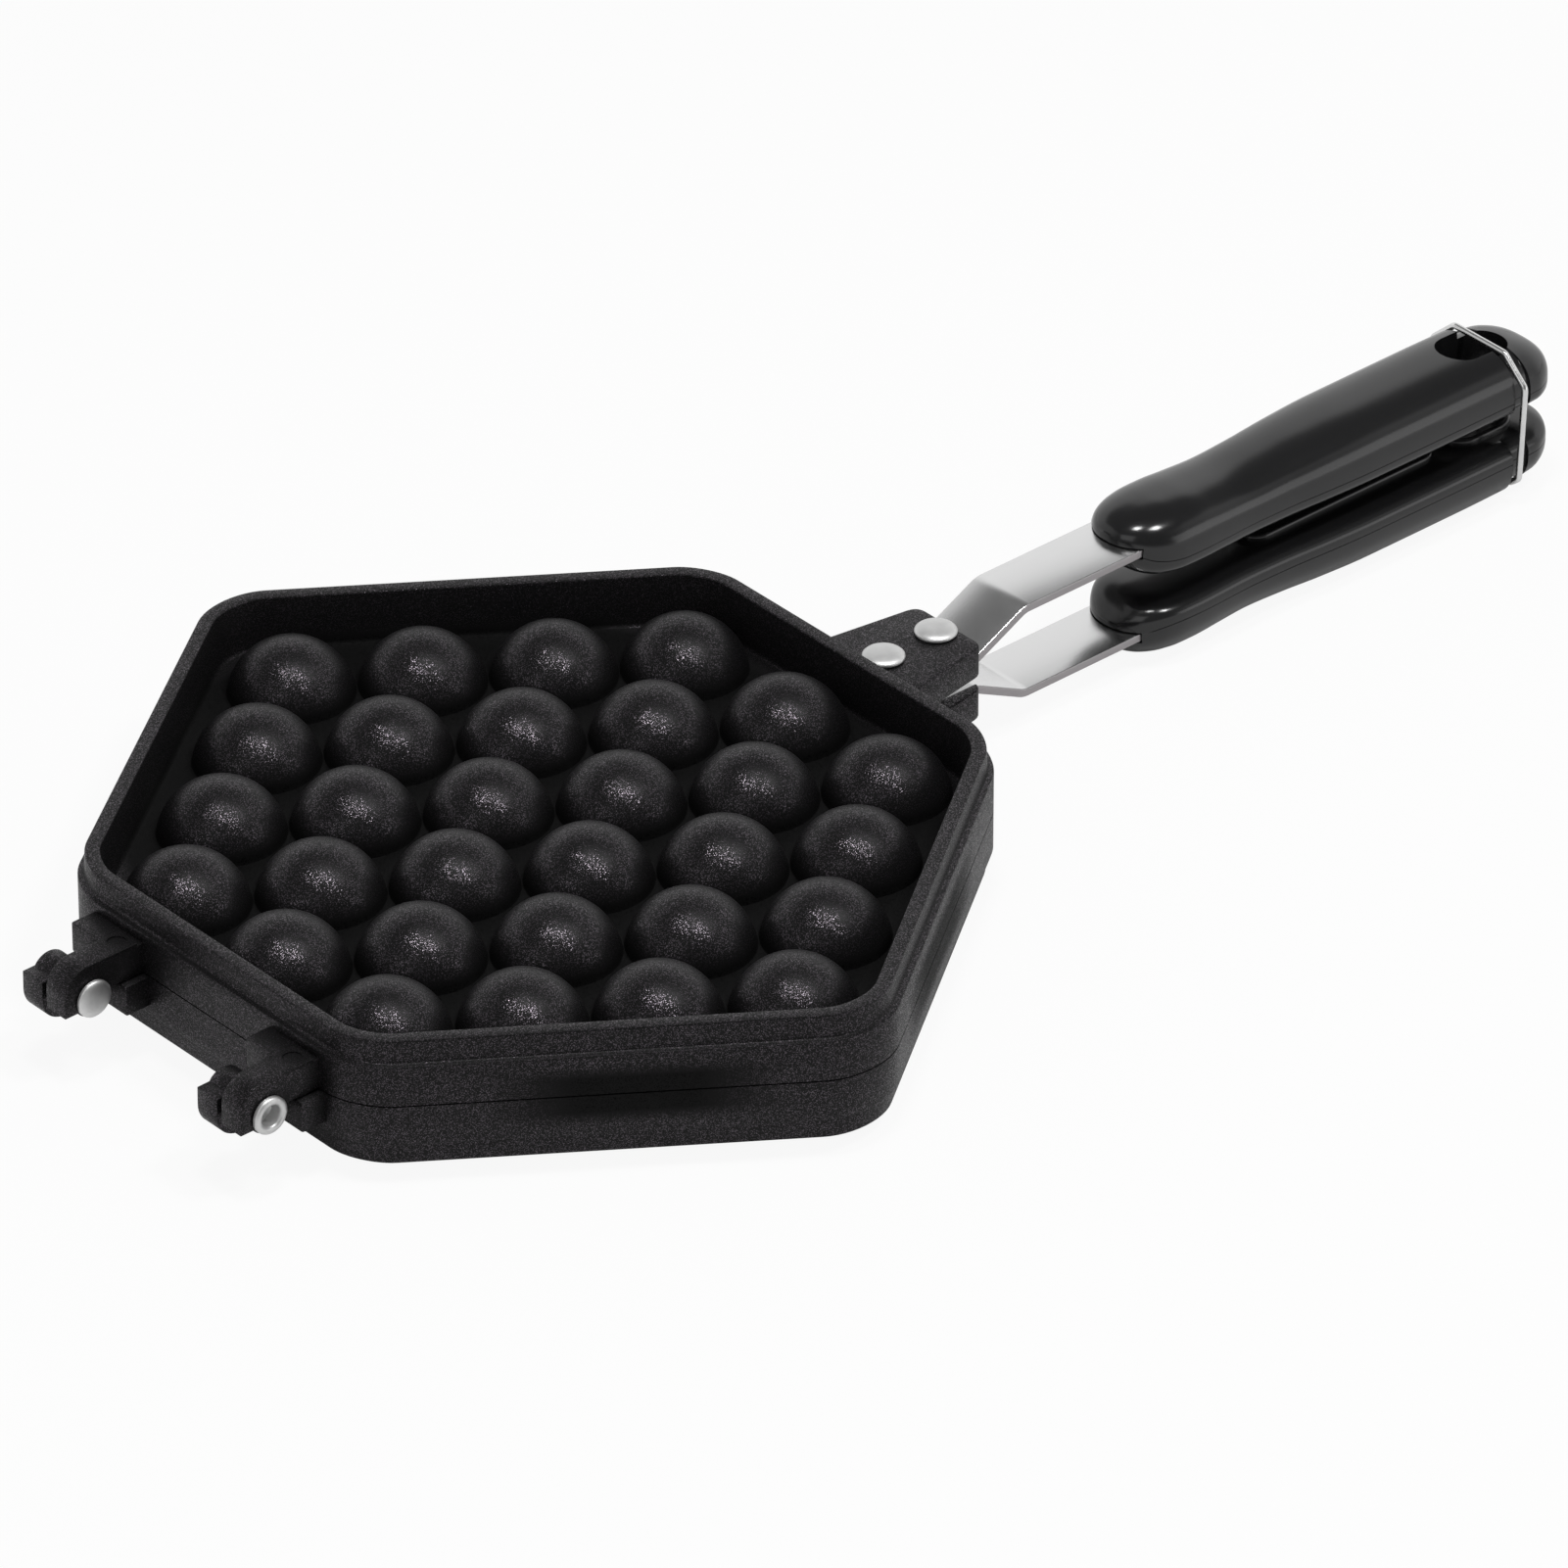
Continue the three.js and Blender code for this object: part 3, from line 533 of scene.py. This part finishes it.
def grip_section():
    """The section's outline at full size: squared-off crown, fine seam and shallow inner side."""
    clear_bench()
    bpy.ops.mesh.primitive_circle_add(vertices=72, radius=HALF_WIDTH * MM, fill_type="NGON",
                                      rotation=(math.pi / 2, 0, math.pi / 2))
    piece = named("grip")
    for step in range(1, 36):
        angle = math.pi * step / 36 - math.pi / 2
        for over in (True, False):
            squareness = CROWN_SQUARENESS if over else LIP_SQUARENESS
            if over != (angle > 0) or abs(angle) < 0.01:
                continue
            c, s = math.cos(angle), abs(math.sin(angle))
            reach = (c ** squareness + s ** squareness) ** (-1 / squareness) if c > 1e-6 else 1
            pick(piece, "VERT", lambda v: near(v.co.z, HALF_WIDTH * math.sin(angle) * MM, 0.05)
                 and near(abs(v.co.y), HALF_WIDTH * c * MM, 0.05))
            stretch((0, 0, 0), y=reach, z=reach)
    pick(piece, "VERT", lambda v: v.co.z > 0.1 * MM)
    stretch((0, 0, 0), z=RISE / HALF_WIDTH)
    pick(piece, "VERT", lambda v: v.co.z < -0.1 * MM)
    stretch((0, 0, 0), z=LIP / HALF_WIDTH)
    # the fine line where the two mould halves meet
    pick(piece, "VERT", lambda v: near(v.co.z, 0, 0.05))
    bpy.ops.mesh.bevel(offset=0.13 * MM, segments=2, affect="VERTICES", profile=0.5)
    pick(piece, "VERT", lambda v: near(v.co.z, 0, 0.03))
    stretch((0, 0, 0), y=1 - 0.14 / HALF_WIDTH)
    return piece


def grip_blank():
    piece = grip_section()
    stations = list(grip_stations())
    x, width, rise, lip, lift = stations[0]
    pick(piece, "FACE", lambda f: True)
    bpy.ops.transform.translate(value=(x * MM, 0, 0))
    stretch((0, 0, 0), y=width)
    pick(piece, "VERT", lambda v: v.co.z > 0.02 * MM)
    stretch((0, 0, 0), z=rise)
    pick(piece, "VERT", lambda v: v.co.z < -0.02 * MM)
    stretch((0, 0, 0), z=lip)
    pick(piece, "FACE", lambda f: True)
    bpy.ops.transform.translate(value=(0, 0, (SEAM + lift * RISE) * MM))
    for here, there in zip(stations, stations[1:]):
        seam = SEAM + here[4] * RISE
        pick(piece, "FACE", lambda f: len(f.verts) > 6 and near(f.calc_center_median().x, here[0] * MM, 0.005)
             and abs(f.normal.x) > 0.5 and (there is stations[1] or f.normal.x > 0))
        extrude(x=there[0] - here[0])
        new = there[0] * MM
        stretch((there[0], 0, 0), y=there[1] / here[1])
        pick(piece, "VERT", lambda v: near(v.co.x, new, 0.003) and v.co.z > (seam + 0.001) * MM)
        stretch((there[0], 0, seam), z=there[2] / here[2])
        pick(piece, "VERT", lambda v: near(v.co.x, new, 0.003) and v.co.z < (seam - 0.001) * MM)
        stretch((there[0], 0, seam), z=there[3] / here[3])
        if there[4] != here[4]:
            pick(piece, "VERT", lambda v: near(v.co.x, new, 0.003))
            bpy.ops.transform.translate(value=(0, 0, (there[4] - here[4]) * RISE * MM))
        if there is stations[1]:
            pick(piece, "FACE", lambda f: True)
            bpy.ops.mesh.normals_make_consistent(inside=False)
    outward(piece)
    return piece


def grip(carries_bail):
    """Moulded grip: boss, collar, strap slot, hanging hole, and the wire's bore if it carries the bail."""
    piece = grip_blank()
    boss = stadium("boss", *BOSS, BOSS_LOW, BOSS_HIGH)
    softened(boss, 0.7, segments=4, angle=60)
    combined(piece, boss, "UNION")
    collar = stadium("collar", *COLLAR, BOSS_LOW, BOSS_HIGH)
    softened(collar, 0.5, segments=3, angle=60)
    combined(piece, collar, "UNION")
    slot = block("slot", 147, 234.3, -7.7, 7.7, 8.7, 11.1)
    combined(piece, slot, "DIFFERENCE")
    combined(piece, stadium("hang_hole", *HANG_HOLE, 0, 19), "DIFFERENCE")
    if carries_bail:
        bore = cylinder("bail_bore", WIRE_RADIUS + 0.25, 40, (WIRE_X, 0, PIVOT_DROP), axis="Y", sides=32)
        combined(piece, bore, "DIFFERENCE")
    smooth(piece, 32)
    return piece


# Materials

class Socket:
    """A shader socket that Python's operators work on."""
    tree = None

    def __init__(self, link):
        self.link = link

    @classmethod
    def node(cls, kind, settings=None, out=0, **values):
        node = cls.tree.nodes.new("ShaderNode" + kind)
        for key, value in (settings or {}).items():
            if key == "stops":
                elements = node.color_ramp.elements
                while len(elements) < len(value):
                    elements.new(0.5)
                for element, (place, tone) in zip(elements, value):
                    element.position = place
                    element.color = (tone, tone, tone, 1) if isinstance(tone, (int, float)) else tone
            else:
                setattr(node, key, value)
        for key, value in values.items():
            name = key.replace("_", " ")
            socket = node.inputs[int(key[1:])] if key[0] == "i" and key[1:].isdigit() else node.inputs[name]
            if isinstance(value, Socket):
                cls.tree.links.new(value.link, socket)
            else:
                socket.default_value = value
        return cls(node.outputs[out])

    def _sum(self, operation, *others, swapped=False):
        values = [self, *others]
        if swapped:
            values.reverse()
        return Socket.node("Math", {"operation": operation}, **{f"i{k}": v for k, v in enumerate(values)})

    def __add__(self, other): return self._sum("ADD", other)
    def __radd__(self, other): return self._sum("ADD", other)
    def __sub__(self, other): return self._sum("SUBTRACT", other)
    def __rsub__(self, other): return self._sum("SUBTRACT", other, swapped=True)
    def __mul__(self, other): return self._sum("MULTIPLY", other)
    def __rmul__(self, other): return self._sum("MULTIPLY", other)
    def __truediv__(self, other): return self._sum("DIVIDE", other)
    def __pow__(self, other): return self._sum("POWER", other)
    def __gt__(self, other): return self._sum("GREATER_THAN", other)
    def __lt__(self, other): return self._sum("LESS_THAN", other)


def start_material(name):
    material = bpy.data.materials.new(name)
    material.use_nodes = True
    Socket.tree = material.node_tree
    material.node_tree.nodes.clear()
    return material


def finish_material(material, shader):
    output = material.node_tree.nodes.new("ShaderNodeOutputMaterial")
    material.node_tree.links.new(shader.link, output.inputs["Surface"])
    return material


def object_point():
    return Socket.node("TexCoord", out=3)


def parts_of(point):
    """The x, y and z of a point, each as a socket."""
    outputs = Socket.node("SeparateXYZ", Vector=point).link.node.outputs
    return [Socket(outputs[i]) for i in range(3)]


def scaled(point, scale):
    return Socket.node("Mapping", Vector=point, Scale=scale)


def noise(point, scale, detail=2.0, roughness=0.5):
    return Socket.node("TexNoise", Vector=point, Scale=scale, Detail=detail, Roughness=roughness)


def ramp(value, *stops):
    return Socket.node("ValToRGB", {"stops": stops}, Fac=value)


def blend(factor, a, b):
    node = Socket.tree.nodes.new("ShaderNodeMix")
    node.data_type = "RGBA"
    for socket, value in ((node.inputs["Factor"], factor), (node.inputs[6], a), (node.inputs[7], b)):
        if isinstance(value, Socket):
            Socket.tree.links.new(value.link, socket)
        else:
            socket.default_value = value
    return Socket(node.outputs[2])


def vector(operation, *values, **more):
    inputs = {f"i{k}": v for k, v in enumerate(values)}
    return Socket.node("VectorMath", {"operation": operation}, **inputs, **more)


def bump(height, strength, distance):
    return Socket.node("Bump", Height=height, Strength=strength, Distance=distance * MM)


def grey(value):
    return (value, value, value, 1)


SHADED_WELL_SIZE = Vector((0.079, 0.092, 0.0068))     # half lengths of the stretch with painted shade and a rougher coat


def coated_casting():
    """Black non-stick coat with fine metal flakes; low in the trays, painted shade on a rougher coat.

    The painted shade is an ellipse round the middle of the plates: there the coat's colour goes near black
    and the flakes' tint is left out. It reaches past the tray's four slanted sides, so it also shows on the
    middle of their outer walls, near the parting plane.
    """
    material = start_material("coated_casting")
    point = object_point()
    cells = Socket.node("TexVoronoi", {"feature": "F1"}, out=1, Vector=point, Scale=7600.0)
    flakes = Socket.node("SeparateColor", Color=cells) > 0.82
    blotch = noise(point, 60.0, 4.0, 0.6)
    grain = noise(point, 2400.0, 2.0, 0.6)
    x, y, z = parts_of(point)
    # mask of the painted shade low in the trays, where the coat is also rougher
    x, z = (x - PLATE_MIDDLE.x) / SHADED_WELL_SIZE.x, (z - PLATE_MIDDLE.z) / SHADED_WELL_SIZE.z
    inside = ramp(x ** 2 + (y / SHADED_WELL_SIZE.y) ** 2, (0.9, 1.0), (1.0, 0.0))
    rough_shaded_well = inside * ramp(z ** 2, (0.3, 1.0), (1.0, 0.0))
    coat = blend(blotch, (0.0040, 0.0040, 0.0042, 1), (0.0060, 0.0060, 0.0061, 1))
    # painted shade: the coat goes near black in that stretch, and below the flakes lose their tint there
    coat = blend(rough_shaded_well * 0.7, coat, (0.0006, 0.0006, 0.0006, 1))
    tint = blend(grain, (0.05, 0.044, 0.051, 1), (0.15, 0.132, 0.15, 1))
    colour = blend(flakes * (1 - rough_shaded_well), coat, tint)
    rough = 0.4 + blotch * 0.08 - flakes * 0.16 + rough_shaded_well * 0.3
    surface = bump(grain * 0.6 + noise(point, 900.0, 2.0) * 0.4, 0.3, 0.1)
    lean = vector("MULTIPLY_ADD", cells, (1.0, 1.0, 1.0), (-0.5, -0.5, -0.5))
    lean = vector("SCALE", lean, Scale=flakes * 0.3)
    facing = vector("NORMALIZE", vector("ADD", surface, lean))
    shader = Socket.node("BsdfPrincipled", Base_Color=colour, Roughness=rough, Metallic=flakes * 0.9,
                         Normal=facing, Specular_IOR_Level=0.15)
    return finish_material(material, shader)


STRAP_EDGE = 0.0073      # half the strip's width less its rounded edge, in metres


def satin_steel():
    """Rolled strip: fine marks along its length, small pits, a soft cloudiness and duller edges."""
    material = start_material("satin_steel")
    point = object_point()
    lines = noise(scaled(point, (60.0, 2600.0, 2600.0)), 1.0, 3.0, 0.6)
    cloud = noise(point, 90.0, 4.0, 0.6)
    grit = noise(point, 2200.0, 2.0, 0.6)
    pits = Socket.node("TexVoronoi", {"feature": "F1"}, Vector=point, Scale=160.0)
    pit = (pits < 0.06) * (cloud > 0.55)
    side = parts_of(point)[1]
    edge = side * side > STRAP_EDGE * STRAP_EDGE
    colour = blend(cloud, (0.68, 0.68, 0.682, 1), (0.76, 0.76, 0.76, 1))
    colour = blend(pit * 0.6, colour, (0.16, 0.15, 0.14, 1))
    colour = blend(edge, colour, blend(lines, (0.3, 0.285, 0.29, 1), (0.42, 0.4, 0.41, 1)))
    rough = 0.17 + cloud * 0.1 + lines * 0.05 + edge * 0.25
    surface = bump(lines * 0.5 + grit * 0.5, 0.12, 0.05)
    shader = Socket.node("BsdfPrincipled", Base_Color=colour, Roughness=rough, Metallic=1.0, Normal=surface)
    return finish_material(material, shader)


def polished_rivet():
    """Steel of the rivets and pins: satin, with small bright and dull spots."""
    material = start_material("polished_rivet")
    point = object_point()
    cloud = noise(point, 420.0, 3.0, 0.6)
    grit = noise(point, 3000.0, 2.0, 0.6)
    colour = blend(cloud, (0.6, 0.6, 0.6, 1), (0.78, 0.78, 0.775, 1))
    shader = Socket.node("BsdfPrincipled", Base_Color=colour, Roughness=0.42 + cloud * 0.14, Metallic=1.0,
                         Normal=bump(cloud * 0.5 + grit * 0.5, 0.18, 0.06))
    return finish_material(material, shader)


def moulded_phenolic():
    """Glossy black moulding: very slight ripple and a few dull streaks of flow."""
    material = start_material("moulded_phenolic")
    point = object_point()
    flow = noise(scaled(point, (20.0, 90.0, 90.0)), 1.0, 4.0, 0.6)
    dust = noise(point, 1500.0, 2.0, 0.5)
    colour = blend(flow, (0.0085, 0.0085, 0.009, 1), (0.013, 0.013, 0.0135, 1))
    rough = 0.13 + flow * 0.1 + ramp(dust, (0.62, 0.0), (0.75, 1.0)) * 0.05
    surface = bump(flow * 0.7 + noise(point, 220.0, 2.0) * 0.3, 0.05, 0.4)
    shader = Socket.node("BsdfPrincipled", Base_Color=colour, Roughness=rough, Normal=surface,
                         Specular_IOR_Level=0.5)
    return finish_material(material, shader)


def bright_wire():
    """Drawn wire: a fine grain and a slightly uneven plating."""
    material = start_material("bright_wire")
    point = object_point()
    cloud = noise(point, 500.0, 3.0, 0.6)
    colour = blend(cloud, (0.66, 0.66, 0.66, 1), (0.82, 0.82, 0.815, 1))
    shader = Socket.node("BsdfPrincipled", Base_Color=colour, Roughness=0.2 + cloud * 0.12, Metallic=1.0,
                         Normal=bump(noise(point, 2500.0, 2.0), 0.12, 0.04))
    return finish_material(material, shader)


# The pieces, in place

def placed(piece, name, half, body, material, x=0.0, y=0.0, turn=0.0):
    """Turns the piece over for the lower half, sets it in the row's frame and dresses it."""
    only(piece)
    if turn:
        piece.rotation_euler = (0, 0, turn)
        bpy.ops.object.transform_apply(location=True, rotation=True, scale=True)
    piece.location = (x * MM, y * MM, 0)
    bpy.ops.object.transform_apply(location=True, rotation=True, scale=True)
    if half == DOWN:
        piece.rotation_euler = (math.pi, 0, 0)
        bpy.ops.object.transform_apply(location=True, rotation=True, scale=True)
    piece.location = PLATE_MIDDLE
    bpy.ops.object.transform_apply(location=True, rotation=True, scale=True)
    piece.name = piece.data.name = name + "_finished"
    piece.data.materials.clear()
    piece.data.materials.append(material)
    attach(piece, body)
    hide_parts(name)


coat, steel, bright, phenolic, wire = (coated_casting(), satin_steel(), polished_rivet(),
                                       moulded_phenolic(), bright_wire())
cast_half, strip, stud = casting(), strap(), rivet()
for half, title in ((UP, "upper"), (DOWN, "lower")):
    body = title + "_half"
    placed(duplicate(cast_half, "cast"), f"{title}_plate", half, body, coat)
    placed(duplicate(strip, "strip"), f"{title}_strap", half, body, steel)
    for i, x in enumerate(RIVET_PLACES):
        placed(duplicate(stud, "stud"), f"{title}_strap_rivet_{i + 1}", half, body, bright,
               x=x)
    placed(grip(half == DOWN), f"{title}_grip", half, body, phenolic)
placed(hinge_pin(head=PIN_HEAD, tail=PIN_END), "hinge_pin_far", UP, "lower_half", bright,
       x=PIN_X, y=EAR_SPREAD)
placed(hinge_pin(head=PIN_END, tail=PIN_HEAD), "hinge_pin_near", UP, "lower_half", bright,
       x=PIN_X, y=-EAR_SPREAD, turn=math.pi)
placed(bail(), "wire_bail", UP, "bail", wire)
for spare in (cast_half, strip, stud):
    bpy.data.objects.remove(spare)


# Studio

AZIMUTH, ELEVATION = math.radians(-41.44), math.radians(33.03)
TARGET = Vector((-0.029394, -0.011769, 0.0172))
DISTANCE, LENS, SENSOR = 2.683677, 314.8, 36
FLOOR_RADIUS, FLOOR_DROP = 12, 0.0004
CAMERA_RAY, GLOSSY_RAY, TRANSMISSION_RAY = 0, 3, 6      # outputs of the Light Path node
BACK = Vector((math.sin(AZIMUTH) * math.cos(ELEVATION), -math.cos(AZIMUTH) * math.cos(ELEVATION),
               math.sin(ELEVATION)))
RIGHT = Vector((math.cos(AZIMUTH), math.sin(AZIMUTH), 0))
ABOVE = BACK.cross(RIGHT)


def camera():
    data = bpy.data.cameras.new("camera")
    data.lens, data.sensor_width = LENS, SENSOR
    data.clip_start, data.clip_end = 0.05, 50
    eye = bpy.data.objects.new("camera", data)
    bpy.context.scene.collection.objects.link(eye)
    eye.location = TARGET + BACK * DISTANCE
    eye.rotation_mode = "QUATERNION"
    eye.rotation_quaternion = BACK.to_track_quat("Z", "Y")
    bpy.context.scene.camera = eye


def lamp(name, direction, distance, size, watts):
    """A soft box at a direction from the pan, facing it. The direction is (right, above, back)."""
    way = (RIGHT * direction[0] + ABOVE * direction[1] + BACK * direction[2]).normalized()
    data = bpy.data.lights.new(name, "AREA")
    data.shape, data.size, data.size_y, data.energy = "RECTANGLE", size, size, watts
    box = bpy.data.objects.new(name, data)
    bpy.context.scene.collection.objects.link(box)
    box.location = way * distance
    box.rotation_mode = "QUATERNION"
    box.rotation_quaternion = way.to_track_quat("Z", "Y")


def light_path(*kinds):
    """One for a ray of any of these kinds."""
    found = [Socket.node("LightPath", out=kind) for kind in kinds]
    return found[0] if len(found) == 1 else found[0] + found[1]


def studio():
    """White backdrop and table, dark room and four soft boxes."""
    camera()
    scene = bpy.context.scene
    scene.view_settings.view_transform = "Standard"
    world = bpy.data.worlds.new("studio")
    world.use_nodes = True
    scene.world = world
    Socket.tree = world.node_tree
    world.node_tree.nodes.clear()
    x, y, z = parts_of(Socket.node("TexCoord", out=0))
    ahead = ramp((x * -BACK.x + y * -BACK.y) * 0.6 + 0.5, (0.25, 0.0), (0.75, 1.0))
    room = blend(ahead, ramp(z, (0.0, 0.6), (0.1, 0.14)), ramp(z, (0.6, 0.5), (0.7, 0.13)))
    backdrop = ramp(z, (0.61, 1.0), (0.68, 0.04), (0.8, 0.0)) * ahead
    mirrored = light_path(GLOSSY_RAY, TRANSMISSION_RAY)
    seen = blend(light_path(CAMERA_RAY) + mirrored * backdrop, room, grey(1.0))
    background = Socket.node("Background", Color=seen, Strength=1.0)
    output = world.node_tree.nodes.new("ShaderNodeOutputWorld")
    world.node_tree.links.new(background.link, output.inputs["Surface"])

    clear_bench()
    bpy.ops.mesh.primitive_circle_add(vertices=64, radius=FLOOR_RADIUS, fill_type="NGON",
                                      location=(0, 0, -FLOOR_DROP))
    floor = bpy.context.object
    floor.name = "floor"
    material = start_material("white_table")
    # mirrored in the pan, the table is darker in front of the pan's middle line than behind it
    table = ramp(parts_of(object_point())[1], (-0.03, 0.14), (-0.012, 0.5))
    glow = light_path(CAMERA_RAY) * 0.92 + light_path(GLOSSY_RAY, TRANSMISSION_RAY) * table
    shader = Socket.node("MixShader", i0=glow, i1=Socket.node("BsdfDiffuse", Color=grey(0.8)),
                         i2=Socket.node("Emission", Color=grey(1.0), Strength=1.0))
    floor.data.materials.append(finish_material(material, shader))

    lamp("left_key", (-0.025, 0.774, 0.634), 1.6, 0.26, 9.0)
    lamp("right_key", (0.393, 0.673, 0.627), 1.6, 0.26, 9.0)
    lamp("left_fill", (-0.425, 0.04, 0.905), 1.5, 0.9, 2.4)
    lamp("right_fill", (0.96, -0.056, 0.28), 1.5, 0.8, 2.6)


studio()
